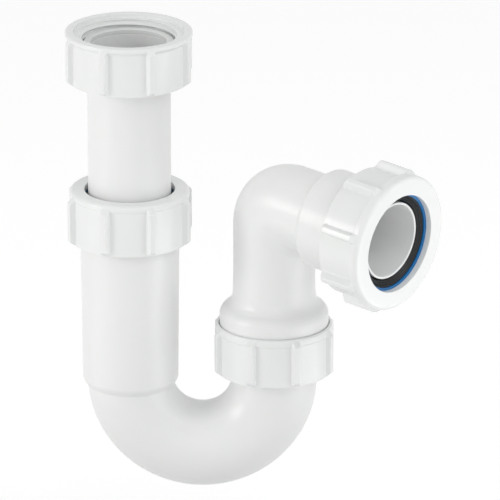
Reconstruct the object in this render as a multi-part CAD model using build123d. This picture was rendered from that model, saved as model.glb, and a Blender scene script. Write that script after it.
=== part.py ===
from build123d import *
from math import radians, tan
import os

# Tubular swivel trap for a basin: a telescopic inlet tube, a trap body bent
# back up, a swivelling outlet elbow and four ribbed plastic nuts.
# The origin is the centre of the mouth of the inlet thread, with +Z up the
# inlet leg and +X towards the outlet leg. All sizes are in millimetres.

# Sizes: inlet tube
tube_diameter = 34.6
tube_wall = 1.5
tube_length = 106.4
tube_flange_width = 1.5
tube_flange_thickness = 2.6
washer_thickness = 2.0
washer_drop = 2.3

# Sizes: pipe thread of the inlet nut, close to a 1 1/4 inch pipe thread
inlet_thread_depth = 1.48
inlet_thread_lead = 2.2
inlet_thread_chamfer = 0.6

# Sizes: nuts
nut_rib_count = 8
nut_rib_width = 2.7
nut_rib_flank = 0.6
nut_rib_round = 0.5
nut_rib_low_slope = 1.8
nut_rib_high_slope = 2.0
nut_lip_thickness = 3.0
nut_band_step = 0.35
nut_edge_round = 0.9
body_nut_edge_round = 1.4
outlet_nut_edge_round = 1.9

inlet_nut_height = 21.2
inlet_nut_wall = 4.245
inlet_nut_rib_height = 2.4
inlet_nut_rim_width = 1.3
inlet_nut_rim_height = 1.7
inlet_nut_recess_width = 2.045
inlet_nut_recess_depth = 1.7

body_nut_height = 22.2
body_nut_wall = 2.85
body_nut_rib_height = 2.7
body_nut_band_height = 2.6
body_nut_hole_gap = 1.55

swivel_nut_height = 21.0
swivel_nut_rim_wall = 1.4
swivel_nut_rib_height = 2.3
swivel_nut_band_height = 3.0
swivel_nut_recess_depth = 2.0

outlet_nut_length = 21.0
outlet_nut_wall = 4.15
outlet_nut_rib_height = 3.5
outlet_nut_face_step = 1.9
outlet_nut_face_length = 4.4
outlet_nut_hole_gap = 2.4
compression_wall_thickness = 2.8

# Sizes: compression joints, one on the body's socket and one on the outlet
slip_ring_thickness = 0.9
body_slip_ring_gap = 0.1
outlet_slip_ring_overlap = 0.95
seal_head_thickness = 2.4
seal_cone_length = 4.6
seal_cone_angle_drop = 1.9
seal_lip_height = 0.5
outlet_seal_grip = 1.4

# Sizes: trap body
inlet_to_body_nut = 66.5
leg_length = 83.1
leg_spacing = 60.2
bend_wall = 1.9
bend_step = 1.6
socket_wall = 3.0
socket_taper = 0.65
socket_bottom_chamfer = 2.4
socket_bottom_drop = 0.4
socket_floor_height = 2.4
socket_thread_depth = 0.95
socket_thread_length = 14.5
body_flange_width = 2.25
body_flange_thickness = 3.0

# Sizes: swivel joint and outlet elbow
swivel_nut_height_above_bend = 3.3
elbow_wall = 1.8
elbow_step = 0.75
elbow_taper = 0.5
elbow_bend_radius = 9.4
elbow_height = 78.4
elbow_foot_wall = 3.05
elbow_flare_width = 2.3
elbow_flare_band = 6.4
elbow_flare_rise = 8.4
outlet_angle = 38.5
outlet_fall = 4.2
outlet_reach = 66.8
outlet_pocket_diameter = 36.8
outlet_pocket_depth = 25.0
outlet_socket_wall = 2.9
outlet_socket_start = 24.5
outlet_socket_shoulder = 3.2
outlet_thread_depth = 1.4
outlet_thread_length = 13.0
outlet_spigot_gap = 1.9
outlet_spigot_wall = 1.05
outlet_spigot_setback = 4.6

# Fits, all radial
tube_clearance = 0.35
lip_clearance = 0.45
seal_clearance = 0.1
thread_clearance = 0.15
recess_clearance = 0.25
ring_clearance = 0.3
outlet_seal_clearance = 0.4
body_flange_clearance = 0.4
tube_flange_clearance = 0.675

# Diameters round the inlet leg, each from the one inside it
tube_flange_diameter = tube_diameter + 2 * tube_flange_width
inlet_thread_minor = tube_flange_diameter + 2 * tube_flange_clearance
inlet_thread_major = inlet_thread_minor + 2 * inlet_thread_depth
inlet_nut_panel_diameter = inlet_thread_major + 2 * inlet_nut_wall
inlet_nut_rib_diameter = inlet_nut_panel_diameter + 2 * inlet_nut_rib_height
inlet_nut_rim_diameter = inlet_nut_panel_diameter + 2 * inlet_nut_rim_width
inlet_nut_recess_diameter = inlet_thread_major + 2 * inlet_nut_recess_width
body_bore = tube_diameter + 2 * tube_clearance
socket_top_diameter = body_bore + 2 * socket_wall
socket_bottom_diameter = socket_top_diameter - 2 * socket_taper
socket_thread_diameter = socket_top_diameter + 2 * socket_thread_depth
body_seal_diameter = socket_thread_diameter - 2 * ring_clearance
body_nut_panel_diameter = socket_thread_diameter + 2 * (thread_clearance + body_nut_wall)
body_nut_rib_diameter = body_nut_panel_diameter + 2 * body_nut_rib_height
body_nut_hole_diameter = tube_diameter + 2 * body_nut_hole_gap
body_slip_ring_bore = body_nut_hole_diameter + 2 * body_slip_ring_gap

# Diameters round the bend, the swivel joint and the elbow
bend_bore = body_bore - 2 * bend_step
bend_diameter = bend_bore + 2 * bend_wall
body_flange_diameter = bend_diameter + 2 * body_flange_width
swivel_thread_minor = body_flange_diameter + 2 * body_flange_clearance
elbow_flare_diameter = swivel_thread_minor + 2 * elbow_flare_width
swivel_nut_recess_diameter = elbow_flare_diameter + 2 * recess_clearance
swivel_nut_band_diameter = swivel_nut_recess_diameter + 2 * swivel_nut_rim_wall
swivel_nut_panel_diameter = swivel_nut_band_diameter - 2 * nut_band_step
swivel_nut_rib_diameter = swivel_nut_panel_diameter + 2 * swivel_nut_rib_height
elbow_foot_bore_diameter = swivel_thread_minor - 2 * (thread_clearance + elbow_foot_wall)
elbow_bore_diameter = bend_bore - 2 * elbow_step
elbow_diameter = elbow_bore_diameter + 2 * elbow_wall
elbow_foot_diameter = elbow_diameter + 2 * elbow_taper

# Diameters round the outlet
outlet_seal_bore = outlet_pocket_diameter - 2 * outlet_seal_grip
outlet_spigot_diameter = outlet_pocket_diameter - 2 * outlet_spigot_gap
outlet_socket_diameter = outlet_pocket_diameter + 2 * outlet_socket_wall
outlet_thread_diameter = outlet_socket_diameter + 2 * outlet_thread_depth
outlet_seal_diameter = outlet_thread_diameter - 2 * outlet_seal_clearance
outlet_nut_panel_diameter = outlet_thread_diameter + 2 * (thread_clearance + outlet_nut_wall)
outlet_nut_face_diameter = outlet_nut_panel_diameter + 2 * outlet_nut_face_step
outlet_nut_rib_diameter = outlet_nut_panel_diameter + 2 * outlet_nut_rib_height
outlet_nut_hole_diameter = outlet_pocket_diameter + 2 * outlet_nut_hole_gap
outlet_slip_ring_bore = outlet_nut_hole_diameter - 2 * outlet_slip_ring_overlap

# Turn of each nut, so that its ribs stand as they were left
rib_start_angle = 22.5
outlet_nut_turn = 5.2

# Heights that follow from the sizes
inlet_nut_top = inlet_thread_chamfer + inlet_nut_recess_depth
inlet_nut_bottom = inlet_nut_top - inlet_nut_height
tube_top = -washer_drop - washer_thickness
tube_bottom = tube_top - tube_length
body_nut_top = -inlet_to_body_nut
body_rim = body_nut_top - compression_wall_thickness - slip_ring_thickness - seal_head_thickness
bend_height = body_nut_top - leg_length
swivel_nut_bottom = bend_height + swivel_nut_height_above_bend
swivel_nut_top = swivel_nut_bottom + swivel_nut_height
body_flange_bottom = swivel_nut_bottom + nut_lip_thickness
swivel_washer_bottom = body_flange_bottom + body_flange_thickness
elbow_bottom = swivel_washer_bottom + washer_thickness
elbow_flare_bottom = swivel_nut_top - swivel_nut_recess_depth + thread_clearance
outlet_height = bend_height + elbow_height
outlet_rim = outlet_reach - compression_wall_thickness - slip_ring_thickness - seal_head_thickness

# The outlet leg's axis. The elbow's own frame has its origin where the two
# centre lines cross, +X towards the outlet and +Z up. The outlet's own frame
# has +Z along the pipe.
outlet_leg = Pos(leg_spacing, 0, 0)
elbow_frame = Pos(leg_spacing, 0, outlet_height) * Rot(0, 0, -outlet_angle)
outlet_frame = elbow_frame * Rot(0, 90 + outlet_fall, 0)
elbow_turn = 90 + outlet_fall
elbow_tangent = elbow_bend_radius * tan(radians(elbow_turn / 2))


def turned(points):
    """A solid of revolution about Z from its half section, given as (radius, height)."""
    section = make_face(Plane.XZ * Polyline(*points, close=True))
    return revolve(section, Axis.Z)


def rounded_turned(points, radii):
    """The same with each corner of the half section rounded by its own radius."""
    section = make_face(Plane.XZ * Polyline(*points, close=True))
    for point, radius in zip(points, radii):
        if radius > 0:
            corner = section.vertices().sort_by_distance((point[0], 0, point[1]))[0]
            section = fillet(corner, radius)
    return revolve(section, Axis.Z)


def bore(diameter, bottom, top):
    """A plain cylinder about Z, used to open a hole."""
    height = top - bottom
    return Pos(0, 0, bottom + height / 2) * Cylinder(diameter / 2, height)


def grip_ribs(panel_diameter, rib_diameter, bottom, top):
    """The grip ribs round a nut, which slope back to the wall at both ends."""
    root = panel_diameter / 2 - 1.0
    wall = panel_diameter / 2
    crest = rib_diameter / 2
    half = nut_rib_width / 2
    foot = half + nut_rib_flank
    plan = make_face(
        Polyline((root, -foot), (crest, -half), (crest, half), (root, foot), close=True)
    )
    plan = fillet(plan.vertices().group_by(Axis.X)[-1], nut_rib_round)
    side = make_face(Plane.XZ * Polyline(
        (root, bottom), (wall, bottom), (crest, bottom + nut_rib_low_slope),
        (crest, top - nut_rib_high_slope), (wall, top), (root, top), close=True,
    ))
    rib = Pos(0, 0, bottom) * extrude(plan, top - bottom) & extrude(side, foot, both=True)
    return [
        Rot(0, 0, rib_start_angle + 360 * index / nut_rib_count) * rib
        for index in range(nut_rib_count)
    ]


def inlet_nut():
    """Coupling nut with a female thread above and a lip that the tube's flange hangs on."""
    top = inlet_nut_top
    bottom = inlet_nut_bottom
    panel = inlet_nut_panel_diameter / 2
    rim = inlet_nut_rim_diameter / 2
    recess = inlet_nut_recess_diameter / 2
    minor = inlet_thread_minor / 2
    major = inlet_thread_major / 2
    hole = tube_diameter / 2 + lip_clearance
    lead = inlet_thread_lead
    step = major - minor
    lip = bottom + nut_lip_thickness
    ledge = inlet_thread_chamfer
    points = (
        (hole, bottom), (panel, bottom),
        (panel, top - inlet_nut_rim_height - (rim - panel)),
        (rim, top - inlet_nut_rim_height), (rim, top),
        (recess, top), (recess, ledge), (minor + ledge, ledge), (minor, 0),
        (minor, -lead), (major, -lead - step), (major, lip), (hole, lip),
    )
    nut = rounded_turned(points, (0, 0.6, 0, 0.4, nut_edge_round, 0.3, 0, 0, 0, 0, 0, 0, 0))
    rib_top = top - inlet_nut_rim_height / 2
    return nut + grip_ribs(inlet_nut_panel_diameter, inlet_nut_rib_diameter, bottom, rib_top)


def inlet_washer():
    """Flat sealing washer that lies on the tube's flange."""
    outer = tube_flange_diameter - 2 * seal_clearance
    washer = bore(outer, tube_top, tube_top + washer_thickness)
    return washer - bore(tube_diameter - 2 * tube_wall, tube_top, tube_top + washer_thickness)


def inlet_tube():
    """Plain telescopic tube with a flange at its top."""
    outer = tube_diameter / 2
    inner = outer - tube_wall
    flange = tube_flange_diameter / 2
    under = tube_top - tube_flange_thickness
    points = (
        (inner, tube_bottom), (outer, tube_bottom), (outer, under),
        (flange, under), (flange, tube_top), (inner, tube_top),
    )
    return rounded_turned(points, (0, 0.5, 0, 0.3, 0.3, 0))


def compression_nut(height, panel, rib, face, face_length, hole, thread, edge_round):
    """Nut with an end wall, its outer face at z = 0 and the open end below."""
    wall = -compression_wall_thickness
    points = (
        (hole / 2, wall), (thread / 2, wall), (thread / 2, -height), (panel / 2, -height),
        (panel / 2, -face_length - nut_band_step), (face / 2, -face_length),
        (face / 2, 0), (hole / 2, 0),
    )
    nut = rounded_turned(points, (0, 0, 0, 0.6, 0, 0.2, edge_round, 0.4))
    return nut + grip_ribs(panel, rib, -height, -edge_round)


def body_nut():
    """Compression nut that squeezes the body's seal on to the inlet tube."""
    nut = compression_nut(
        body_nut_height, body_nut_panel_diameter, body_nut_rib_diameter,
        body_nut_panel_diameter + 2 * nut_band_step, body_nut_band_height,
        body_nut_hole_diameter, socket_thread_diameter + 2 * thread_clearance,
        body_nut_edge_round,
    )
    return Pos(0, 0, body_nut_top) * nut


def slip_ring(outer, inner):
    """Thin ring under a compression nut's end wall, its outer face at z = 0."""
    ring = bore(outer, -slip_ring_thickness, 0)
    return ring - bore(inner, -slip_ring_thickness, 0)


def seal(head, neck, inner, lips):
    """Rubber compression seal: a flat head, a cone below it and lips round its bore."""
    low = -seal_head_thickness - seal_cone_length
    outline = [
        (inner / 2, 0), (head / 2, 0), (head / 2, -seal_head_thickness),
        (neck / 2, -seal_head_thickness), (neck / 2 - seal_cone_angle_drop, low), (inner / 2, low),
    ]
    if lips:
        pitch = seal_head_thickness / 2
        for index in (2, 1):
            middle = -pitch * index
            outline.append((inner / 2, middle - pitch * 0.45))
            outline.append((inner / 2 - seal_lip_height, middle))
            outline.append((inner / 2, middle + pitch * 0.45))
    return turned(outline)


def conical_seat(neck, depth_margin):
    """The cone cut into a socket's rim for a seal, its rim at z = 0."""
    reach = neck / 2 + seal_clearance
    low = -seal_cone_length - depth_margin
    drop = seal_cone_angle_drop * (seal_cone_length + depth_margin) / seal_cone_length
    return turned(((0, 0), (reach, 0), (reach - drop, low), (0, low)))


body_seal_neck = body_bore + 2 * seal_cone_angle_drop
outlet_seal_neck = outlet_pocket_diameter + 2 * seal_cone_angle_drop


def body_slip_ring():
    """Slip ring between the body nut and its seal."""
    ring = slip_ring(socket_thread_diameter - 2 * ring_clearance, body_slip_ring_bore)
    return Pos(0, 0, body_nut_top - compression_wall_thickness) * ring


def body_seal():
    """Seal squeezed between the body's socket and the inlet tube."""
    ring = seal(body_seal_diameter, body_seal_neck, tube_diameter + 2 * seal_clearance, False)
    return Pos(0, 0, body_rim + seal_head_thickness) * ring


def bend(diameter):
    """Half a torus under the two legs, in the XZ plane."""
    circle = Pos(0, 0, bend_height) * Circle(diameter / 2)
    pivot = Axis((leg_spacing / 2, 0, bend_height), (0, -1, 0))
    return revolve(circle, pivot, 180)


def socket_outside():
    """Outside of the wide inlet leg with its male thread band."""
    top = socket_top_diameter / 2
    low = socket_bottom_diameter / 2
    band = socket_thread_diameter / 2
    band_end = body_rim - socket_thread_length
    chamfer = socket_bottom_chamfer
    corner = bend_height - socket_bottom_drop
    points = (
        (0, corner - chamfer), (low - chamfer * 0.7, corner - chamfer),
        (low, corner), (top, band_end), (band, band_end + (band - top)),
        (band, body_rim - 0.6), (band - 0.6, body_rim), (0, body_rim),
    )
    return turned(points)


def trap_body():
    """Socket leg, return bend and flanged outlet leg in one moulding."""
    floor = bend_height + socket_floor_height
    leg = bore(bend_diameter, bend_height, swivel_washer_bottom)
    flange = bore(body_flange_diameter, body_flange_bottom, swivel_washer_bottom)
    body = socket_outside() + bend(bend_diameter) + outlet_leg * (leg + flange)
    body -= bore(body_bore, floor, body_rim)
    body -= turned((
        (0, bend_height), (bend_bore / 2, bend_height), (bend_bore / 2, floor - bend_step),
        (body_bore / 2, floor), (0, floor),
    ))
    body -= bend(bend_bore)
    body -= outlet_leg * bore(bend_bore, bend_height, swivel_washer_bottom)
    body -= Pos(0, 0, body_rim) * conical_seat(body_seal_neck, 0.4)
    return body


def swivel_nut():
    """Coupling nut that hangs on the body's flange and screws on to the elbow."""
    top = swivel_nut_top
    bottom = swivel_nut_bottom
    panel = swivel_nut_panel_diameter / 2
    band = swivel_nut_band_diameter / 2
    recess = swivel_nut_recess_diameter / 2
    thread = swivel_thread_minor / 2
    hole = bend_diameter / 2 + lip_clearance
    floor = top - swivel_nut_recess_depth
    lip = bottom + nut_lip_thickness
    low = top - swivel_nut_band_height
    points = (
        (hole, bottom), (panel, bottom), (panel, low - nut_band_step), (band, low),
        (band, top), (recess, top), (recess, floor), (thread, floor), (thread, lip), (hole, lip),
    )
    nut = rounded_turned(points, (0, 0.6, 0, 0.2, nut_edge_round, 0.2, 0, 0.4, 0, 0))
    rib_top = top - nut_edge_round
    ribs = grip_ribs(swivel_nut_panel_diameter, swivel_nut_rib_diameter, bottom, rib_top)
    return outlet_leg * (nut + ribs)


def swivel_washer():
    """Rubber washer between the body's flange and the elbow."""
    outer = body_flange_diameter - 2 * seal_clearance
    low = swivel_washer_bottom
    washer = bore(outer, low, elbow_bottom) - bore(elbow_foot_bore_diameter, low, elbow_bottom)
    return outlet_leg * washer


def elbow_bend(diameter):
    """Tight bend from the upright leg to the outlet, in the elbow's own frame."""
    radius = elbow_bend_radius
    disc = Circle(diameter / 2) & Pos(radius - diameter, 0) * Rectangle(2 * diameter, 2 * diameter)
    pivot = Axis((radius, 0, -elbow_tangent), (0, 1, 0))
    outer_side = revolve(Pos(0, 0, -elbow_tangent) * disc, pivot, elbow_turn)
    inlet_side = bore(diameter, -2 * elbow_tangent, -elbow_tangent)
    outlet_side = Rot(0, elbow_turn, 0) * bore(diameter, elbow_tangent, outlet_socket_start)
    return outer_side + inlet_side + outlet_side


def elbow_foot():
    """Outside of the elbow's lower end: thread band, flare and upright leg."""
    thread = swivel_thread_minor / 2 - thread_clearance
    flare = elbow_flare_diameter / 2
    leg = elbow_diameter / 2
    foot = elbow_foot_diameter / 2
    band_top = elbow_flare_bottom + elbow_flare_band
    top = outlet_height - elbow_tangent
    points = (
        (0, elbow_bottom), (thread - 0.5, elbow_bottom), (thread, elbow_bottom + 0.5),
        (thread, elbow_flare_bottom), (flare, elbow_flare_bottom), (flare, band_top),
        (foot, band_top + elbow_flare_rise), (leg, top), (0, top),
    )
    return rounded_turned(points, (0, 0, 0, 0, 0.3, 3.0, 7.0, 0, 0))


def elbow_foot_bore():
    """Waterway of the elbow's lower end, wide at the washer and narrow above the flare."""
    wide = elbow_foot_bore_diameter / 2
    narrow = elbow_bore_diameter / 2
    low = elbow_flare_bottom + elbow_flare_band
    top = outlet_height - elbow_tangent
    return turned((
        (0, elbow_bottom), (wide, elbow_bottom), (wide, low),
        (narrow, low + elbow_flare_rise), (narrow, top), (0, top),
    ))


def outlet_socket():
    """Outside of the outlet socket, along +Z from the elbow's axis."""
    pipe = elbow_diameter / 2
    wall = outlet_socket_diameter / 2
    band = outlet_thread_diameter / 2
    start = outlet_socket_start
    shoulder = start + outlet_socket_shoulder
    band_start = outlet_rim - outlet_thread_length
    points = (
        (0, elbow_tangent), (pipe, elbow_tangent), (pipe, start), (wall, shoulder),
        (wall, band_start), (band, band_start + (band - wall)), (band, outlet_rim - 0.6),
        (band - 0.6, outlet_rim), (0, outlet_rim),
    )
    return rounded_turned(points, (0, 0, 1.5, 1.8, 0, 0, 0, 0, 0))


def outlet_bore():
    """Waterway of the outlet, narrowed to the bore of the inner spigot."""
    wide = elbow_bore_diameter / 2
    narrow = outlet_spigot_diameter / 2 - outlet_spigot_wall
    start = outlet_socket_start
    return turned((
        (0, elbow_tangent), (wide, elbow_tangent), (wide, start),
        (narrow, start + outlet_socket_shoulder), (narrow, outlet_reach), (0, outlet_reach),
    ))


def outlet_elbow():
    """Swivelling elbow with a socket and inner spigot at its outlet."""
    spigot_end = outlet_reach - outlet_spigot_setback
    pocket_floor = outlet_rim - outlet_pocket_depth
    pocket = bore(outlet_pocket_diameter, pocket_floor, outlet_rim)
    seat = Pos(0, 0, outlet_rim) * conical_seat(outlet_seal_neck, 0.4)
    spigot = bore(outlet_spigot_diameter, pocket_floor - 1, spigot_end)
    socket = outlet_socket() - pocket - seat + spigot - outlet_bore()
    elbow = outlet_leg * elbow_foot() + elbow_frame * elbow_bend(elbow_diameter)
    elbow += outlet_frame * socket
    elbow -= outlet_leg * elbow_foot_bore()
    elbow -= elbow_frame * elbow_bend(elbow_bore_diameter)
    return elbow


def outlet_nut():
    """Compression nut at the outlet, its end face towards the waste pipe."""
    nut = compression_nut(
        outlet_nut_length, outlet_nut_panel_diameter, outlet_nut_rib_diameter,
        outlet_nut_face_diameter, outlet_nut_face_length, outlet_nut_hole_diameter,
        outlet_thread_diameter + 2 * thread_clearance, outlet_nut_edge_round,
    )
    return outlet_frame * Pos(0, 0, outlet_reach) * Rot(0, 0, outlet_nut_turn) * nut


def outlet_slip_ring():
    """Slip ring between the outlet nut and its seal."""
    ring = slip_ring(outlet_thread_diameter - 2 * ring_clearance, outlet_slip_ring_bore)
    return outlet_frame * Pos(0, 0, outlet_reach - compression_wall_thickness) * ring


def outlet_seal():
    """Ridged rubber seal that grips the waste pipe."""
    ring = seal(outlet_seal_diameter, outlet_seal_neck, outlet_seal_bore + 2 * seal_lip_height, True)
    return outlet_frame * Pos(0, 0, outlet_rim + seal_head_thickness) * ring


os.makedirs("parts", exist_ok=True)
export_step(inlet_nut(), "parts/inlet_nut.step")
export_step(inlet_washer(), "parts/inlet_washer.step")
export_step(inlet_tube(), "parts/inlet_tube.step")
export_step(body_nut(), "parts/body_nut.step")
export_step(body_slip_ring(), "parts/body_slip_ring.step")
export_step(body_seal(), "parts/body_seal.step")
export_step(trap_body(), "parts/trap_body.step")
export_step(swivel_nut(), "parts/swivel_nut.step")
export_step(swivel_washer(), "parts/swivel_washer.step")
export_step(outlet_elbow(), "parts/outlet_elbow.step")
export_step(outlet_nut(), "parts/outlet_nut.step")
export_step(outlet_slip_ring(), "parts/outlet_slip_ring.step")
export_step(outlet_seal(), "parts/outlet_seal.step")
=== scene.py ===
import math

import bmesh
import bpy
from mathutils import Matrix, Vector


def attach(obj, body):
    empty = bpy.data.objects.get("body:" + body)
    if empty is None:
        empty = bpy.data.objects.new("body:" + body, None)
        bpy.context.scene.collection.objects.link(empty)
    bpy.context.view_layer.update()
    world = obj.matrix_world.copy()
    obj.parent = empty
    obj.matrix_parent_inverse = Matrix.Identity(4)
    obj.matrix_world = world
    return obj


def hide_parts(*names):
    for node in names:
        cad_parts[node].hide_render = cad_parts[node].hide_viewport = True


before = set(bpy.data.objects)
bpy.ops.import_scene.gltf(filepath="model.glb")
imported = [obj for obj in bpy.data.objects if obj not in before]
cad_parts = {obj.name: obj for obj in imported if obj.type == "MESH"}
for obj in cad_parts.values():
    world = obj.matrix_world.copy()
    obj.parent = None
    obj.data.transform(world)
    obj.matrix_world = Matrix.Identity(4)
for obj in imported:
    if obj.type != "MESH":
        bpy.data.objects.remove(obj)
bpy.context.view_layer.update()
print("frame loaded, nodes:", len(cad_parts))

# Every length in the dictionaries is in millimetres and every angle in degrees.
# Meshes are built in millimetres and brought to metres as each piece is finished.
layout = {
    "legSpacing": 60.2,
    "bendHeight": -149.6,
    "elbowHeight": -71.2,
    "outletAngle": 38.5,
    "outletTurn": 94.2,
    "floorHeight": -235,  # clear of the body at the lowest end of its travel
}

inletPlace = Matrix.Identity(4)
outletLegPlace = Matrix.Translation((layout["legSpacing"], 0, 0))
elbowPlace = (
    Matrix.Translation((layout["legSpacing"], 0, layout["elbowHeight"]))
    @ Matrix.Rotation(math.radians(-layout["outletAngle"]), 4, "Z")
)
outletTurn = Matrix.Rotation(math.radians(layout["outletTurn"]), 4, "Y")
outletPlace = elbowPlace @ outletTurn

columns = 128  # round a plain piece
threadSteps = 96  # round one turn of a thread
weld = 1e-3  # vertices closer than this are one
perMetre = 1000


# Sections and sweeps

def drawSection(corners, closed=False):
    # corners are (radius, height) or (radius, height, rounding) in the XZ plane
    bm = bmesh.new()
    verts = [bm.verts.new((corner[0], 0, corner[1])) for corner in corners]
    for pair in zip(verts, verts[1:]):
        bm.edges.new(pair)
    if closed:
        bm.edges.new((verts[-1], verts[0]))
    for vert, corner in zip(verts, corners):
        if len(corner) > 2:
            bmesh.ops.bevel(
                bm, geom=[vert], offset=corner[2], affect="VERTICES",
                segments=4 if corner[2] > 0.25 else 2, profile=0.5, material=-1,
            )
    return bm


def spunWall(corners, closed=False):
    bm = drawSection(corners, closed)
    bmesh.ops.spin(
        bm, geom=bm.verts[:] + bm.edges[:], cent=(0, 0, 0), axis=(0, 0, 1),
        angle=2 * math.pi, steps=columns, use_merge=True,
    )
    return bm


def sweepColumns(bm, turns):
    # one strip for each angle in turns, so that columns can stand close together
    strip = bm.verts[:] + bm.edges[:]
    for turn in turns:
        swept = bmesh.ops.spin(
            bm, geom=strip, cent=(0, 0, 0), axis=(0, 0, 1), angle=turn, steps=1,
        )
        strip = swept["geom_last"]
    bmesh.ops.remove_doubles(bm, verts=bm.verts, dist=weld)
    return bm


def joinMeshes(first, *others):
    for other in others:
        mesh = bpy.data.meshes.new("joining")
        other.to_mesh(mesh)
        other.free()
        first.from_mesh(mesh)
        bpy.data.meshes.remove(mesh)
    bmesh.ops.remove_doubles(first, verts=first.verts, dist=weld)
    return first


def bridgeAt(bm, height):
    # joins the two open loops that lie at one height
    rim = [
        edge for edge in bm.edges
        if edge.is_boundary and all(abs(vert.co.z - height) < 2 * weld for vert in edge.verts)
    ]
    bmesh.ops.bridge_loops(bm, edges=rim)


def lookUp(value, table):
    # straight-line reading of a table of (place, amount), sorted by place
    if value <= table[0][0]:
        return table[0][1]
    for (low, first), (high, second) in zip(table, table[1:]):
        if value <= high:
            return first + (second - first) * (value - low) / (high - low)
    return table[-1][1]


# Screw threads. A thread's lead is the chamfer at its mouth, and its inset is how far the
# rim's ring of vertices lies inside its root.

threadRound = 0.16  # rounding of crests and roots
runOutGap = 0.06  # how far a run-out cone ends outside the plain wall beyond it
reliefGap = 0.12  # how far an undercut lies outside the root
cutSlack = 1e-4  # a vertex this near a cut counts as lying on it


def threadWall(thread, bottom, top, chamfers):
    # a right-hand thread cut to bottom and top; chamfers are (height, radius, slope)
    # cones that it keeps inside, or outside where it is a female thread
    pitch = thread["pitch"]
    crest = thread["crest"]
    root = thread["root"]
    flat = thread["flat"]
    flank = (1 - 2 * flat) / 2
    bm = drawSection((
        (crest, 0), (crest, flat / 2 * pitch, threadRound),
        (root, (flat / 2 + flank) * pitch, threadRound),
        (root, (flat * 1.5 + flank) * pitch, threadRound),
        (crest, (1 - flat / 2) * pitch, threadRound), (crest, pitch),
    ))
    turns = math.ceil((top - bottom) / pitch) + 3  # the ends are cut off below
    bmesh.ops.translate(bm, verts=bm.verts, vec=(0, 0, bottom - 2 * pitch))
    bmesh.ops.spin(
        bm, geom=bm.verts[:] + bm.edges[:], cent=(0, 0, 0), axis=(0, 0, 1),
        dvec=(0, 0, pitch / threadSteps), angle=2 * math.pi * turns, steps=threadSteps * turns,
    )
    bmesh.ops.remove_doubles(bm, verts=bm.verts, dist=weld)
    choose = max if root > crest else min
    for vert in bm.verts:
        radius = math.hypot(vert.co.x, vert.co.y)
        level = min(max(vert.co.z, bottom), top)
        wanted = radius
        for height, start, slope in chamfers:
            wanted = choose(wanted, start + slope * (level - height))
        vert.co.x *= wanted / radius
        vert.co.y *= wanted / radius
    for height, side in ((bottom, -1), (top, 1)):
        bmesh.ops.bisect_plane(
            bm, geom=bm.verts[:] + bm.edges[:] + bm.faces[:], dist=cutSlack,
            plane_co=(0, 0, height), plane_no=(0, 0, side), clear_outer=True,
        )
    bmesh.ops.remove_doubles(bm, verts=bm.verts, dist=weld)
    return bm


# Ribbed nuts. A nut's bandGap and panelGap keep the rows of vertices off the step between
# its smooth band and its ribbed panel.

ribShape = (  # distance from the rib's middle, share of its height
    (0, 1), (0.85, 1), (1.1, 0.985), (1.28, 0.94), (1.4, 0.85), (1.5, 0.7),
    (1.8, 0.16), (1.92, 0.05), (2.1, 0), (2.6, 0),
)
ribEnd = ((0, 0), (0.85, 0.88), (1.15, 1))  # share of the end's slope, share of the height
rowShares = (0, 0.3, 0.6, 0.85, 1, 1.15, 1.4)  # rows of vertices over the end's slope
edgeGap = 0.05  # how far the rows keep from a rounded edge
wallSlack = 0.02  # a vertex this far inside the panel's radius still lies on the outer wall


def outerRows(nut, radius, top, bottom=-math.inf):
    # corners of the outer wall between two heights, from the top down
    low = [nut["ribBottom"] + nut["lowSlope"] * share for share in rowShares]
    high = [nut["ribTop"] - nut["highSlope"] * share for share in rowShares]
    return [(radius, height) for height in high + low[::-1] if top > height > bottom]


def columnTurns(nut):
    half = [math.asin(side / nut["panel"]) for side, share in ribShape]
    pitch = 2 * math.pi / nut["ribs"]
    gap = pitch - 2 * half[-1]
    plain = [half[-1] + gap * step / nut["panelSteps"] for step in range(1, nut["panelSteps"])]
    angles = [-angle for angle in half[:0:-1]] + half + plain + [pitch - half[-1]]
    turns = [second - first for first, second in zip(angles, angles[1:])]
    return -half[-1], turns * nut["ribs"]


def raiseRibs(bm, nut):
    pitch = 2 * math.pi / nut["ribs"]
    first = math.radians(nut["firstRib"])
    rise = [(nut["ribBottom"] + nut["lowSlope"] * way, share) for way, share in ribEnd]
    rise += [(nut["ribTop"] - nut["highSlope"] * way, share) for way, share in ribEnd[::-1]]
    for vert in bm.verts:
        radius = math.hypot(vert.co.x, vert.co.y)
        if radius < nut["panel"] - wallSlack:
            continue
        angle = math.atan2(vert.co.y, vert.co.x)
        middle = first + pitch * round((angle - first) / pitch)
        side = abs(nut["panel"] * math.sin(angle - middle))
        share = lookUp(side, ribShape) * lookUp(vert.co.z, rise)
        if share > 0:
            along = radius * math.cos(angle - middle)
            out = (nut["crest"] - along) * share
            vert.co.x += out * math.cos(middle)
            vert.co.y += out * math.sin(middle)


def ribbedShell(nut, corners):
    bm = drawSection(corners)
    start, turns = columnTurns(nut)
    turned = Matrix.Rotation(math.radians(nut["firstRib"]) + start, 4, "Z")
    bmesh.ops.transform(bm, matrix=turned, verts=bm.verts)
    sweepColumns(bm, turns)
    raiseRibs(bm, nut)
    return bm


# Finishing a piece

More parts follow.
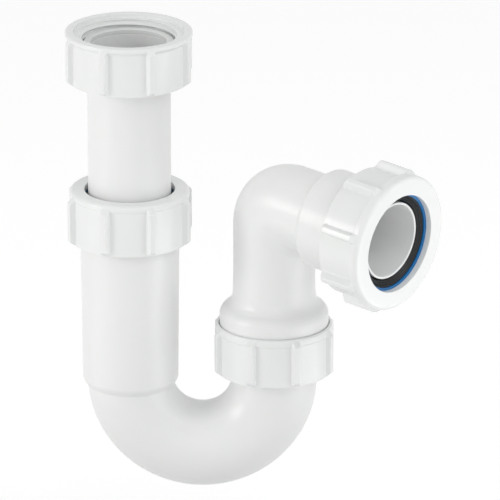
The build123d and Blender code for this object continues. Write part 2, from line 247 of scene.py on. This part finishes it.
def finishPiece(bm, name, place, node, body, material, keepSharp=38):
    bmesh.ops.transform(bm, matrix=Matrix.Scale(1 / perMetre, 4) @ place, verts=bm.verts)
    bmesh.ops.remove_doubles(bm, verts=bm.verts, dist=weld / perMetre)
    bmesh.ops.recalc_face_normals(bm, faces=bm.faces)
    for face in bm.faces:
        face.smooth = True
    openEdges = sum(not edge.is_manifold for edge in bm.edges)
    mesh = bpy.data.meshes.new(name)
    bm.to_mesh(mesh)
    bm.free()
    mesh.set_sharp_from_angle(angle=math.radians(keepSharp))
    mesh.materials.append(material)
    piece = bpy.data.objects.new(name, mesh)
    bpy.context.scene.collection.objects.link(piece)
    even = piece.modifiers.new("evenNormals", "WEIGHTED_NORMAL")
    even.keep_sharp = True
    even.weight = 60
    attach(piece, body)
    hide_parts(node)
    print(name, "faces:", len(mesh.polygons), "open edges:", openEdges)


# Materials

def makeSkinGroup():
    # orange peel, flow marks and a faint mottle for a moulded surface
    group = bpy.data.node_groups.new("mouldedSkin", "ShaderNodeTree")
    for way, kind, names in (
        ("INPUT", "NodeSocketColor", ("Main Color", "Flow Color")),
        ("INPUT", "NodeSocketFloat", ("Peel Scale", "Low Roughness", "High Roughness")),
        ("OUTPUT", "NodeSocketColor", ("Color",)),
        ("OUTPUT", "NodeSocketFloat", ("Roughness", "Height")),
    ):
        for name in names:
            group.interface.new_socket(name, in_out=way, socket_type=kind)
    nodes = group.nodes
    links = group.links
    inside = nodes.new("NodeGroupInput")
    outside = nodes.new("NodeGroupOutput")
    place = nodes.new("ShaderNodeTexCoord")
    flow = nodes.new("ShaderNodeTexNoise")
    flow.inputs["Scale"].default_value = 38
    flow.inputs["Detail"].default_value = 3
    flow.inputs["Distortion"].default_value = 1.2
    flowRange = nodes.new("ShaderNodeMapRange")
    flowRange.inputs["From Min"].default_value = 0.35
    flowRange.inputs["From Max"].default_value = 0.7
    speck = nodes.new("ShaderNodeTexNoise")
    speck.inputs["Scale"].default_value = 420
    speck.inputs["Detail"].default_value = 4
    mixFlow = nodes.new("ShaderNodeMix")
    mixFlow.data_type = "RGBA"
    peel = nodes.new("ShaderNodeTexNoise")
    peel.inputs["Detail"].default_value = 2
    roughRange = nodes.new("ShaderNodeMapRange")
    roughRange.inputs["From Min"].default_value = 0.3
    roughRange.inputs["From Max"].default_value = 0.7
    addPeel = nodes.new("ShaderNodeMath")
    addPeel.operation = "MULTIPLY_ADD"
    addPeel.inputs[1].default_value = 0.35  # share of the mottle in the height
    for texture in (flow, speck, peel):
        links.new(place.outputs["Object"], texture.inputs["Vector"])
    links.new(inside.outputs["Peel Scale"], peel.inputs["Scale"])
    links.new(flow.outputs["Fac"], flowRange.inputs["Value"])
    links.new(flowRange.outputs["Result"], mixFlow.inputs["Factor"])
    # 6, 7 and 2 are the mix node's color sockets
    links.new(inside.outputs["Main Color"], mixFlow.inputs[6])
    links.new(inside.outputs["Flow Color"], mixFlow.inputs[7])
    links.new(mixFlow.outputs[2], outside.inputs["Color"])
    links.new(speck.outputs["Fac"], roughRange.inputs["Value"])
    links.new(inside.outputs["Low Roughness"], roughRange.inputs["To Min"])
    links.new(inside.outputs["High Roughness"], roughRange.inputs["To Max"])
    links.new(roughRange.outputs["Result"], outside.inputs["Roughness"])
    links.new(speck.outputs["Fac"], addPeel.inputs[0])
    links.new(peel.outputs["Fac"], addPeel.inputs[2])
    links.new(addPeel.outputs["Value"], outside.inputs["Height"])
    return group


skinGroup = makeSkinGroup()


def mouldedMaterial(name, finish):
    material = bpy.data.materials.new(name)
    material.use_nodes = True
    nodes = material.node_tree.nodes
    links = material.node_tree.links
    shader = nodes["Principled BSDF"]
    skin = nodes.new("ShaderNodeGroup")
    skin.node_tree = skinGroup
    skin.inputs["Main Color"].default_value = (*finish["color"], 1)
    skin.inputs["Flow Color"].default_value = (*finish["flow"], 1)
    skin.inputs["Peel Scale"].default_value = finish["peel"]
    skin.inputs["Low Roughness"].default_value = finish["roughness"][0]
    skin.inputs["High Roughness"].default_value = finish["roughness"][1]
    bump = nodes.new("ShaderNodeBump")
    bump.inputs["Strength"].default_value = finish["bump"]
    bump.inputs["Distance"].default_value = 0.0002
    links.new(skin.outputs["Height"], bump.inputs["Height"])
    links.new(skin.outputs["Color"], shader.inputs["Base Color"])
    links.new(skin.outputs["Roughness"], shader.inputs["Roughness"])
    links.new(bump.outputs["Normal"], shader.inputs["Normal"])
    shader.inputs["IOR"].default_value = finish["ior"]
    shader.inputs["Subsurface Weight"].default_value = finish["soft"]
    shader.inputs["Subsurface Radius"].default_value = (1, 0.95, 0.9)
    shader.inputs["Subsurface Scale"].default_value = 0.0012
    return material


whiteNut = mouldedMaterial("whiteNutPlastic", {
    "color": (0.86, 0.87, 0.865), "flow": (0.85, 0.86, 0.857), "peel": 1500,
    "roughness": (0.22, 0.26), "bump": 0.03, "ior": 1.49, "soft": 0.12,
})
whitePipe = mouldedMaterial("whitePipePlastic", {
    "color": (0.86, 0.865, 0.86), "flow": (0.85, 0.857, 0.853), "peel": 1300,
    "roughness": (0.31, 0.36), "bump": 0.02, "ior": 1.5, "soft": 0.25,
})
whiteWasher = mouldedMaterial("whiteWasherPlastic", {
    "color": (0.8, 0.81, 0.8), "flow": (0.77, 0.78, 0.78), "peel": 2200,
    "roughness": (0.42, 0.5), "bump": 0.1, "ior": 1.5, "soft": 0.15,
})
blueRing = mouldedMaterial("bluePlastic", {
    "color": (0.006, 0.17, 0.46), "flow": (0.005, 0.15, 0.42), "peel": 1800,
    "roughness": (0.3, 0.38), "bump": 0.05, "ior": 1.5, "soft": 0,
})
blackRubber = mouldedMaterial("blackRubber", {
    "color": (0.01, 0.0105, 0.012), "flow": (0.016, 0.017, 0.018), "peel": 2600,
    "roughness": (0.3, 0.4), "bump": 0.2, "ior": 1.38, "soft": 0,
})
print("materials made")


# Top nut, washer and inlet tube

inletNut = {
    "top": 2.3, "bottom": -18.9, "panel": 25.2, "crest": 27.6, "ribs": 8, "firstRib": 22.5,
    "panelSteps": 12, "ribBottom": -18.7, "ribTop": 1.45, "lowSlope": 1.8, "highSlope": 2,
    "rim": 26.5, "rimRow": 1.45, "rimEdge": 0.6, "panelTop": -0.7, "rowsFrom": -1.2,
    "recess": 23, "hole": 17.75, "lip": -15.9, "mouth": 0.6, "threadEnd": -13.4,
}
inletThread = {"crest": 19.475, "root": 20.95, "pitch": 2.309, "flat": 0.17, "lead": 0.6}


def buildInletNut(nut, thread):
    relief = thread["root"] + reliefGap
    shell = ribbedShell(nut, [
        (relief, nut["mouth"]), (nut["recess"], nut["mouth"], 0.25),
        (nut["recess"], nut["top"], 0.35), (nut["rim"], nut["top"], 0.8),
        (nut["rim"], nut["rimRow"]), (nut["rim"], nut["rimEdge"], 0.3),
        (nut["panel"], nut["panelTop"], 0.4), *outerRows(nut, nut["panel"], nut["rowsFrom"]),
        (nut["panel"], nut["bottom"], 0.15), (nut["hole"], nut["bottom"], 0.3),
        (nut["hole"], nut["lip"], 0.2), (relief, nut["lip"], 0.3), (relief, nut["threadEnd"]),
    ])
    wall = threadWall(thread, nut["threadEnd"], nut["mouth"], [
        (nut["mouth"] - thread["lead"], thread["crest"], 1),
    ])
    joinMeshes(shell, wall)
    bridgeAt(shell, nut["mouth"])
    bridgeAt(shell, nut["threadEnd"])
    return shell


finishPiece(
    buildInletNut(inletNut, inletThread), "inletNut", inletPlace,
    "inlet_nut", "inlet_nut", whiteNut,
)

inletWasher = {"inner": 15.8, "outer": 18.7, "bottom": -4.3, "top": -2.3}


def buildRing(ring, edge=0.3):
    return spunWall((
        (ring["inner"], ring["bottom"], edge), (ring["outer"], ring["bottom"], edge),
        (ring["outer"], ring["top"], edge), (ring["inner"], ring["top"], edge),
    ), closed=True)


finishPiece(
    buildRing(inletWasher), "inletWasher", inletPlace,
    "inlet_washer", "inlet_washer", whiteWasher,
)

inletTube = {
    "outer": 17.3, "inner": 15.8, "top": -4.3, "bottom": -110.7, "flange": 18.8, "under": -6.9,
}


def buildInletTube(tube):
    return spunWall((
        (tube["inner"], tube["bottom"], 0.3), (tube["outer"], tube["bottom"], 0.5),
        (tube["outer"], tube["under"], 0.5), (tube["flange"], tube["under"], 0.3),
        (tube["flange"], tube["top"], 0.3), (tube["inner"], tube["top"], 0.3),
    ), closed=True)


finishPiece(
    buildInletTube(inletTube), "inletTube", inletPlace,
    "inlet_tube", "inlet_tube", whitePipe,
)
print("inlet made")


# Compression nuts, each with its outer face at height 0 and its open end below

def buildCompressionNut(nut, thread):
    crestEnd = -nut["wall"] - nut["undercut"]
    relief = thread["root"] + reliefGap
    low = -nut["band"]
    shell = ribbedShell(nut, [
        (relief, crestEnd), (relief, -nut["wall"], 0.3), (nut["hole"], -nut["wall"], 0.2),
        (nut["hole"], 0, 0.35), (nut["face"], 0, nut["edge"]),
        *outerRows(nut, nut["face"], -nut["edge"] - edgeGap, low + nut["bandGap"]),
        (nut["face"], low, 0.2), (nut["panel"], low - nut["step"], 0.2),
        *outerRows(nut, nut["panel"], low - nut["panelGap"]),
        (nut["panel"], -nut["length"], 0.15), (relief, -nut["length"]),
    ])
    wall = threadWall(thread, -nut["length"], crestEnd, [
        (-nut["length"] + thread["lead"], thread["crest"], -1),
    ])
    joinMeshes(shell, wall)
    bridgeAt(shell, crestEnd)
    bridgeAt(shell, -nut["length"])
    return shell


bodyNut = {
    "height": -66.5, "length": 22.2, "panel": 24.6, "crest": 27.3, "face": 24.95, "band": 2.6,
    "step": 0.35, "edge": 1.4, "hole": 18.85, "wall": 2.8, "undercut": 1.2, "ribs": 8,
    "firstRib": 22.5, "panelSteps": 12, "ribBottom": -22, "ribTop": -1.4, "lowSlope": 1.8,
    "highSlope": 2, "bandGap": 0.15, "panelGap": 0.9,
}
bodyNutThread = {"crest": 21.75, "root": 22.6, "pitch": 3, "flat": 0.24, "lead": 0.7}
bodyNutPlace = Matrix.Translation((0, 0, bodyNut["height"]))
finishPiece(
    buildCompressionNut(bodyNut, bodyNutThread), "bodyNut", bodyNutPlace,
    "body_nut", "body_nut", whiteNut,
)

outletNut = {
    "height": 66.8, "length": 21, "panel": 27, "crest": 30.5, "face": 28.9, "band": 4.4,
    "step": 0.6, "edge": 1.9, "hole": 20.8, "wall": 2.8, "undercut": 1.2, "ribs": 8,
    "firstRib": 22.5, "panelSteps": 12, "ribBottom": -20.8, "ribTop": -1.9, "lowSlope": 1.8,
    "highSlope": 2, "bandGap": 0.15, "panelGap": 0.9, "turn": 5.2,
}
outletNutThread = {"crest": 22.85, "root": 23.75, "pitch": 3, "flat": 0.24, "lead": 0.7}
outletNutPlace = outletPlace @ Matrix.Translation((0, 0, outletNut["height"]))
outletNutPlace = outletNutPlace @ Matrix.Rotation(math.radians(outletNut["turn"]), 4, "Z")
finishPiece(
    buildCompressionNut(outletNut, outletNutThread), "outletNut", outletNutPlace,
    "outlet_nut", "outlet_nut", whiteNut,
)
print("compression nuts made")


# Slip rings and seals

bodySlipRing = {"inner": 18.95, "outer": 21.3, "bottom": -70.2, "top": -69.3}
finishPiece(
    buildRing(bodySlipRing, 0.2), "bodySlipRing", inletPlace,
    "body_slip_ring", "body_slip_ring", blueRing,
)

outletSlipRing = {"inner": 19.85, "outer": 22.4, "bottom": 63.1, "top": 64}
finishPiece(
    buildRing(outletSlipRing, 0.2), "outletSlipRing", outletPlace,
    "outlet_slip_ring", "outlet_slip_ring", blueRing,
)

bodySeal = {
    "rim": -72.6, "top": -70.2, "head": 21.3, "neck": 19.55, "end": 17.65, "low": -77.2,
    "inner": 17.4, "mouth": 18.2, "mouthDepth": 1.1,
}


def buildBodySeal(seal):
    return spunWall((
        (seal["inner"], seal["low"], 0.1), (seal["end"], seal["low"], 0.1),
        (seal["neck"], seal["rim"], 0.2), (seal["head"], seal["rim"], 0.4),
        (seal["head"], seal["top"], 0.5), (seal["mouth"], seal["top"], 0.3),
        (seal["inner"], seal["top"] - seal["mouthDepth"], 0.3),
    ), closed=True)


finishPiece(
    buildBodySeal(bodySeal), "bodySeal", inletPlace,
    "body_seal", "body_seal", blackRubber,
)

outletSeal = {
    "rim": 60.7, "top": 63.1, "head": 22.3, "neck": 20.3, "end": 18.4, "low": 56.1,
    "inner": 17, "lowInner": 17.5,
    "ridges": (  # distance out from the inner radius, depth under the top, rounding
        (2.5, 0, 0.25), (2.1, 0.75, 0.2), (1.65, 0.35, 0.25), (1.15, 1.2, 0.2),
        (0.7, 0.85, 0.25), (0, 1.9, 0.3), (0.5, 2.9, 0.2), (0.1, 3.7, 0.25), (0.5, 4.5, 0.2),
    ),
}


def buildOutletSeal(seal):
    ridges = [
        (seal["inner"] + out, seal["top"] - depth, edge) for out, depth, edge in seal["ridges"]
    ]
    return spunWall((
        (seal["lowInner"], seal["low"], 0.1), (seal["end"], seal["low"], 0.1),
        (seal["neck"], seal["rim"], 0.2), (seal["head"], seal["rim"], 0.4),
        (seal["head"], seal["top"], 0.5), *ridges,
    ), closed=True)


finishPiece(
    buildOutletSeal(outletSeal), "outletSeal", outletPlace,
    "outlet_seal", "outlet_elbow", blackRubber,
)
print("seals made")


# Trap body: socket, return bend and outlet leg

trapBody = {
    "rim": -72.6, "seat": 19.65, "bore": 17.65, "floor": -147.2, "step": -148.8,
    "thread": 14.5, "wallTop": 20.65, "wallLow": 20, "corner": -150, "cornerRound": 1,
    "cut": -152.4, "cutRadius": 18.35, "bendOuter": 17.95, "bendInner": 16.05,
    "flange": 20.2, "flangeLow": -143.3, "flangeTop": -140.3, "bendSteps": 72, "easing": 40,
    "sealDepth": 4.6, "sealWidth": 1.9,  # the seal's cone, whose slope the seat has
}
socketThread = {
    "crest": 21.6, "root": 20.78, "pitch": 3, "flat": 0.24, "lead": 0.6, "inset": 0.16,
}


def returnBend(radius, body):
    bm = bmesh.new()
    bmesh.ops.create_circle(
        bm, cap_ends=False, radius=radius, segments=columns,
        matrix=Matrix.Translation((0, 0, layout["bendHeight"])),
    )
    pivot = (layout["legSpacing"] / 2, 0, layout["bendHeight"])
    bmesh.ops.spin(
        bm, geom=bm.verts[:] + bm.edges[:], cent=pivot, axis=(0, -1, 0),
        angle=math.pi, steps=body["bendSteps"],
    )
    return bm


def levelStart(bm, body):
    # slides the first rings along the bend until its start lies flat under the socket
    pivotX = layout["legSpacing"] / 2
    easing = math.radians(body["easing"])
    drop = layout["bendHeight"] - body["cut"]
    for vert in bm.verts:
        x = pivotX - vert.co.x
        z = layout["bendHeight"] - vert.co.z
        reach = math.hypot(x, z)
        angle = math.atan2(z, x)
        if abs(angle) < easing:
            angle += math.asin(drop / reach) * (1 - angle / easing)
            vert.co.x = pivotX - reach * math.cos(angle)
            vert.co.z = layout["bendHeight"] - reach * math.sin(angle)
    return bm


def buildTrapBody(body, thread):
    rim = body["rim"]
    threadLow = rim - body["thread"]
    coneDepth = (body["seat"] - body["bore"]) * body["sealDepth"] / body["sealWidth"]
    inside = spunWall((
        (body["bendInner"], layout["bendHeight"]), (body["bendInner"], body["step"], 0.4),
        (body["bore"], body["floor"], 0.4), (body["bore"], rim - coneDepth, 0.3),
        (body["seat"], rim, 0.2), (thread["root"] - thread["inset"], rim),
    ))
    outside = spunWall((
        (body["wallTop"], threadLow), (body["wallLow"], body["corner"], body["cornerRound"]),
        (body["cutRadius"], body["cut"]),
    ))
    wall = threadWall(thread, threadLow, rim, [
        (rim - thread["lead"], thread["crest"], -1),
        (threadLow, body["wallTop"] + runOutGap, 1),
    ])
    leg = spunWall((
        (body["bendOuter"], layout["bendHeight"]), (body["bendOuter"], body["flangeLow"], 0.4),
        (body["flange"], body["flangeLow"], 0.3), (body["flange"], body["flangeTop"], 0.3),
        (body["bendInner"], body["flangeTop"], 0.3), (body["bendInner"], layout["bendHeight"]),
    ))
    bmesh.ops.translate(leg, verts=leg.verts, vec=(layout["legSpacing"], 0, 0))
    outerBend = levelStart(returnBend(body["bendOuter"], body), body)
    innerBend = returnBend(body["bendInner"], body)
    joinMeshes(inside, outside, wall, leg, outerBend, innerBend)
    bridgeAt(inside, rim)
    bridgeAt(inside, threadLow)
    bridgeAt(inside, body["cut"])
    return inside


finishPiece(
    buildTrapBody(trapBody, socketThread), "trapBody", inletPlace,
    "trap_body", "trap_body", whitePipe, 30,
)
print("trap body made")


# Swivel joint

swivelNut = {
    "bottom": -146.3, "top": -125.3, "panel": 24.2, "crest": 26.5, "band": 24.55,
    "bandHeight": 3, "step": 0.35, "edge": 0.9, "recess": 23.15, "recessDepth": 2, "hole": 18.4,
    "lip": -143.3, "undercut": 1.4, "ribs": 8, "firstRib": 22.5, "panelSteps": 12,
    "ribBottom": -146.1, "ribTop": -126.2, "lowSlope": 1.8, "highSlope": 2,
    "bandGap": 0.2, "panelGap": 0.8,
}
swivelNutThread = {"crest": 20.6, "root": 22, "pitch": 2.309, "flat": 0.17, "lead": 0.6}


def buildSwivelNut(nut, thread):
    relief = thread["root"] + reliefGap
    floor = nut["top"] - nut["recessDepth"]
    threadLow = nut["lip"] + nut["undercut"]
    low = nut["top"] - nut["bandHeight"]
    edgeRow = nut["top"] - nut["edge"] - edgeGap
    shell = ribbedShell(nut, [
        (relief, floor), (nut["recess"], floor, 0.2), (nut["recess"], nut["top"], 0.25),
        (nut["band"], nut["top"], nut["edge"]),
        *outerRows(nut, nut["band"], edgeRow, low + nut["bandGap"]), (nut["band"], low, 0.15),
        (nut["panel"], low - nut["step"], 0.15),
        *outerRows(nut, nut["panel"], low - nut["panelGap"]),
        (nut["panel"], nut["bottom"], 0.15), (nut["hole"], nut["bottom"], 0.4),
        (nut["hole"], nut["lip"], 0.2), (relief, nut["lip"], 0.3), (relief, threadLow),
    ])
    wall = threadWall(thread, threadLow, floor, [(floor - thread["lead"], thread["crest"], 1)])
    joinMeshes(shell, wall)
    bridgeAt(shell, floor)
    bridgeAt(shell, threadLow)
    return shell


finishPiece(
    buildSwivelNut(swivelNut, swivelNutThread), "swivelNut", outletLegPlace,
    "swivel_nut", "swivel_nut", whiteNut,
)

swivelWasher = {"inner": 17.4, "outer": 20.1, "bottom": -140.3, "top": -138.3}
finishPiece(
    buildRing(swivelWasher), "swivelWasher", outletLegPlace,
    "swivel_washer", "swivel_washer", blackRubber,
)


# Outlet elbow, built in its own frame with its two centre lines crossing at the origin

outletElbow = {
    "outer": 17.1, "inner": 15.3, "bendRadius": 9.4, "throat": 4, "blend": 5, "bendSteps": 40,
    "legTop": -25, "legRadius": 17.12, "legLow": -31, "outletStart": 25.4,
    # foot and flare
    "foot": -67.1, "footBore": 17.4, "footRunOut": 1, "footSlope": -1.3, "boreTop": -49.55,
    "taperTop": -41.15, "flareLow": -55.95, "flare": 22.9, "rimRadius": 22.8,
    "flareRim": -47.2, "flareRoot": 19.4, "rootRise": 1.4, "neck": 17.35, "neckRise": 4.4,
    # collar and mouth
    "collarRoot": 17.15, "collarStart": 25.7, "collar": 21.3, "shoulder": 28.6,
    "threadLow": 47.7, "rim": 60.7, "seat": 20.4, "seatDepth": 4.84, "pocket": 18.4,
    "pocketFloor": 35.7, "spigot": 16.5, "spigotBore": 15.45, "spigotEnd": 62.2,
}
elbowFootThread = {
    "crest": 20.45, "root": 19.2, "pitch": 2.309, "flat": 0.17, "lead": 0.7, "inset": 0.14,
}
outletThread = {
    "crest": 22.7, "root": 21.8, "pitch": 3, "flat": 0.24, "lead": 0.7, "inset": 0.16,
}


def softMax(first, second, width):
    share = min(max(0.5 + 0.5 * (first - second) / width, 0), 1)
    return second + (first - second) * share + width * share * (1 - share)


def elbowPoint(side, depth, angle, elbow):
    # where the fibre of the tube that is side towards the throat lies after turning by angle
    turn = math.radians(layout["outletTurn"])
    half = math.tan(turn / 2)
    radius = softMax(elbow["bendRadius"] - side, elbow["throat"], elbow["blend"])
    start = -(side + radius) * half
    x = side + radius * (1 - math.cos(angle))
    z = start + radius * math.sin(angle)
    return Vector((x, depth, z))


def elbowTube(radius, elbow):
    bm = bmesh.new()
    side = bm.verts.layers.float.new("side")
    depth = bm.verts.layers.float.new("depth")
    bmesh.ops.create_circle(
        bm, cap_ends=False, radius=radius, segments=columns,
        matrix=Matrix.Translation((0, 0, elbow["legTop"])),
    )
    for vert in bm.verts:
        vert[side] = vert.co.x
        vert[depth] = vert.co.y
    turn = math.radians(layout["outletTurn"])
    ring = bm.edges[:]
    steps = elbow["bendSteps"]
    for step in range(steps + 2):
        grown = bmesh.ops.extrude_edge_only(bm, edges=ring)["geom"]
        ring = [item for item in grown if isinstance(item, bmesh.types.BMEdge)]
        for vert in {vert for edge in ring for vert in edge.verts}:
            if step <= steps:
                vert.co = elbowPoint(vert[side], vert[depth], turn * step / steps, elbow)
            else:
                vert.co = outletTurn @ Vector((vert[side], vert[depth], elbow["outletStart"]))
    return bm


def buildOutletElbow(elbow, footThread, thread):
    floor = elbow["flareLow"]
    footInside = spunWall((
        (elbow["inner"], elbow["legTop"]), (elbow["inner"], elbow["taperTop"], 2),
        (elbow["footBore"], elbow["boreTop"], 2), (elbow["footBore"], elbow["foot"], 0.3),
        (footThread["root"] - footThread["inset"], elbow["foot"]),
    ))
    footOutside = spunWall((
        (footThread["root"] - footThread["inset"], floor), (elbow["flare"], floor, 0.3),
        (elbow["rimRadius"], elbow["flareRim"], 2.9),
        (elbow["flareRoot"], elbow["flareRim"] + elbow["rootRise"], 2),
        (elbow["neck"], elbow["flareRim"] + elbow["neckRise"], 2.6),
        (elbow["legRadius"], elbow["legLow"]), (elbow["outer"], elbow["legTop"]),
    ))
    footWall = threadWall(footThread, elbow["foot"], floor, [
        (elbow["foot"] + footThread["lead"], footThread["crest"], 1),
        (floor - elbow["footRunOut"], footThread["crest"], elbow["footSlope"]),
    ])
    collar = spunWall((
        (elbow["outer"], elbow["outletStart"]), (elbow["collarRoot"], elbow["collarStart"]),
        (elbow["collar"], elbow["shoulder"], 1.2), (elbow["collar"], elbow["threadLow"]),
    ))
    mouth = spunWall((
        (thread["root"] - thread["inset"], elbow["rim"]), (elbow["seat"], elbow["rim"], 0.2),
        (elbow["pocket"], elbow["rim"] - elbow["seatDepth"], 0.3),
        (elbow["pocket"], elbow["pocketFloor"], 0.4),
        (elbow["spigot"], elbow["pocketFloor"], 0.4), (elbow["spigot"], elbow["spigotEnd"], 0.35),
        (elbow["spigotBore"], elbow["spigotEnd"], 0.35), (elbow["spigotBore"], elbow["shoulder"]),
        (elbow["inner"], elbow["outletStart"]),
    ))
    mouthWall = threadWall(thread, elbow["threadLow"], elbow["rim"], [
        (elbow["rim"] - thread["lead"], thread["crest"], -1),
        (elbow["threadLow"], elbow["collar"] + runOutGap, 1),
    ])
    joinMeshes(mouth, mouthWall, collar)
    bridgeAt(mouth, elbow["rim"])
    bridgeAt(mouth, elbow["threadLow"])
    bmesh.ops.transform(mouth, matrix=outletTurn, verts=mouth.verts)
    joinMeshes(footInside, footOutside, footWall)
    bridgeAt(footInside, elbow["foot"])
    bridgeAt(footInside, floor)
    return joinMeshes(
        footInside, mouth, elbowTube(elbow["outer"], elbow), elbowTube(elbow["inner"], elbow),
    )


finishPiece(
    buildOutletElbow(outletElbow, elbowFootThread, outletThread), "outletElbow", elbowPlace,
    "outlet_elbow", "outlet_elbow", whitePipe, 30,
)
print("elbow made")


# Floor, lights, backdrop and camera

studio = {
    "floorSize": 6, "floorColor": (0.78, 0.78, 0.78, 1), "floorLift": 0.42,
    "worldColor": (0.99, 1, 0.995, 1), "worldLight": 0.55,
    "lights": (
        # name, azimuth, elevation, distance in metres, size in metres, power, color
        ("keyLeft", -68, 16, 2.4, 0.8, 14, (1, 0.99, 0.975)),
        ("rightFront", 64, 8, 2.4, 0.7, 2.6, (1, 1, 1)),
        ("frontSoft", 2, 20, 2.6, 2, 6, (1, 1, 1)),
        ("rightTop", 62, 42, 2.4, 1.4, 10, (1, 1, 1)),
        ("topFront", -10, 54, 2.3, 1.4, 2, (1, 1, 1)),
    ),
    # strips that lie on the floor out of the camera's sight and shine in upright gloss
    "strips": (
        # name, azimuth, distance in metres, length, width, power
        ("stripLeft", -66, 0.53, 0.66, 0.32, 0.55),
        ("stripRight", 68, 0.53, 0.66, 0.28, 1.1),
    ),
    "stripLift": 0.003, "target": (0.05, 0, -0.095),
}

floorLevel = layout["floorHeight"] / perMetre


def seenShare(tree):
    # 1 on the rays of the camera, a gloss or a clear thing, 0 on those that light the object
    path = tree.nodes.new("ShaderNodeLightPath")
    seen = path.outputs["Is Camera Ray"]
    for name in ("Is Glossy Ray", "Is Transmission Ray"):
        larger = tree.nodes.new("ShaderNodeMath")
        larger.operation = "MAXIMUM"
        tree.links.new(seen, larger.inputs[0])
        tree.links.new(path.outputs[name], larger.inputs[1])
        seen = larger.outputs[0]
    return seen


def makeWorld(studio):
    world = bpy.data.worlds.new("studioWorld")
    bpy.context.scene.world = world
    world.use_nodes = True
    tree = world.node_tree
    light = tree.nodes["Background"]
    light.inputs["Color"].default_value = studio["worldColor"]
    light.inputs["Strength"].default_value = studio["worldLight"]
    white = tree.nodes.new("ShaderNodeBackground")
    white.inputs["Color"].default_value = (1, 1, 1, 1)
    white.inputs["Strength"].default_value = 1
    mix = tree.nodes.new("ShaderNodeMixShader")
    tree.links.new(seenShare(tree), mix.inputs["Fac"])
    tree.links.new(light.outputs["Background"], mix.inputs[1])
    tree.links.new(white.outputs["Background"], mix.inputs[2])
    tree.links.new(mix.outputs["Shader"], tree.nodes["World Output"].inputs["Surface"])


def makeFloor(studio):
    bm = bmesh.new()
    bmesh.ops.create_grid(
        bm, x_segments=1, y_segments=1, size=studio["floorSize"],
        matrix=Matrix.Translation((0, 0, floorLevel)),
    )
    mesh = bpy.data.meshes.new("floor")
    bm.to_mesh(mesh)
    bm.free()
    floor = bpy.data.objects.new("floor", mesh)
    bpy.context.scene.collection.objects.link(floor)
    material = bpy.data.materials.new("paleFloor")
    material.use_nodes = True
    tree = material.node_tree
    shader = tree.nodes["Principled BSDF"]
    shader.inputs["Base Color"].default_value = studio["floorColor"]
    shader.inputs["Roughness"].default_value = 0.9
    shader.inputs["Specular IOR Level"].default_value = 0
    glow = tree.nodes.new("ShaderNodeEmission")
    glow.inputs["Strength"].default_value = studio["floorLift"]
    none = tree.nodes.new("ShaderNodeEmission")
    none.inputs["Strength"].default_value = 0
    mix = tree.nodes.new("ShaderNodeMixShader")
    add = tree.nodes.new("ShaderNodeAddShader")
    tree.links.new(seenShare(tree), mix.inputs["Fac"])
    tree.links.new(none.outputs["Emission"], mix.inputs[1])
    tree.links.new(glow.outputs["Emission"], mix.inputs[2])
    tree.links.new(shader.outputs["BSDF"], add.inputs[0])
    tree.links.new(mix.outputs["Shader"], add.inputs[1])
    tree.links.new(add.outputs["Shader"], tree.nodes["Material Output"].inputs["Surface"])
    mesh.materials.append(material)


def aimedPlace(target, azimuth, elevation, distance):
    across = math.radians(azimuth)
    up = math.radians(elevation)
    back = Vector((math.sin(across) * math.cos(up), -math.cos(across) * math.cos(up), math.sin(up)))
    place = back.to_track_quat("Z", "Y").to_matrix().to_4x4()
    place.translation = Vector(target) + back * distance
    return place


def makeLights(studio):
    for name, azimuth, elevation, distance, size, power, color in studio["lights"]:
        lamp = bpy.data.lights.new(name, "AREA")
        lamp.shape = "SQUARE"
        lamp.size = size
        lamp.energy = power
        lamp.color = color
        light = bpy.data.objects.new(name, lamp)
        bpy.context.scene.collection.objects.link(light)
        light.matrix_world = aimedPlace(studio["target"], azimuth, elevation, distance)


def makeStrips(studio):
    for name, azimuth, distance, length, width, power in studio["strips"]:
        lamp = bpy.data.lights.new(name, "AREA")
        lamp.shape = "RECTANGLE"
        lamp.size = length
        lamp.size_y = width
        lamp.energy = power
        strip = bpy.data.objects.new(name, lamp)
        strip.visible_camera = False
        bpy.context.scene.collection.objects.link(strip)
        out = Matrix.Rotation(math.radians(azimuth - 90), 4, "Z")
        place = Matrix.Translation(out @ Vector((distance, 0, 0)))
        place.translation += Vector((studio["target"][0], 0, floorLevel + studio["stripLift"]))
        strip.matrix_world = place @ out @ Matrix.Rotation(math.pi, 4, "X")


cameraView = {
    "target": (0.0501, 0, -0.0937), "azimuth": 0.8, "elevation": 19.5, "distance": 3,
    "lens": 517.5, "sensor": 36,
}


def makeCamera(view):
    lens = bpy.data.cameras.new("photoCamera")
    lens.lens = view["lens"]
    lens.sensor_width = view["sensor"]
    camera = bpy.data.objects.new("photoCamera", lens)
    bpy.context.scene.collection.objects.link(camera)
    camera.matrix_world = aimedPlace(
        view["target"], view["azimuth"], view["elevation"], view["distance"],
    )
    bpy.context.scene.camera = camera


makeWorld(studio)
makeFloor(studio)
makeLights(studio)
makeStrips(studio)
makeCamera(cameraView)
bpy.context.scene.view_settings.view_transform = "Standard"
print("studio made")
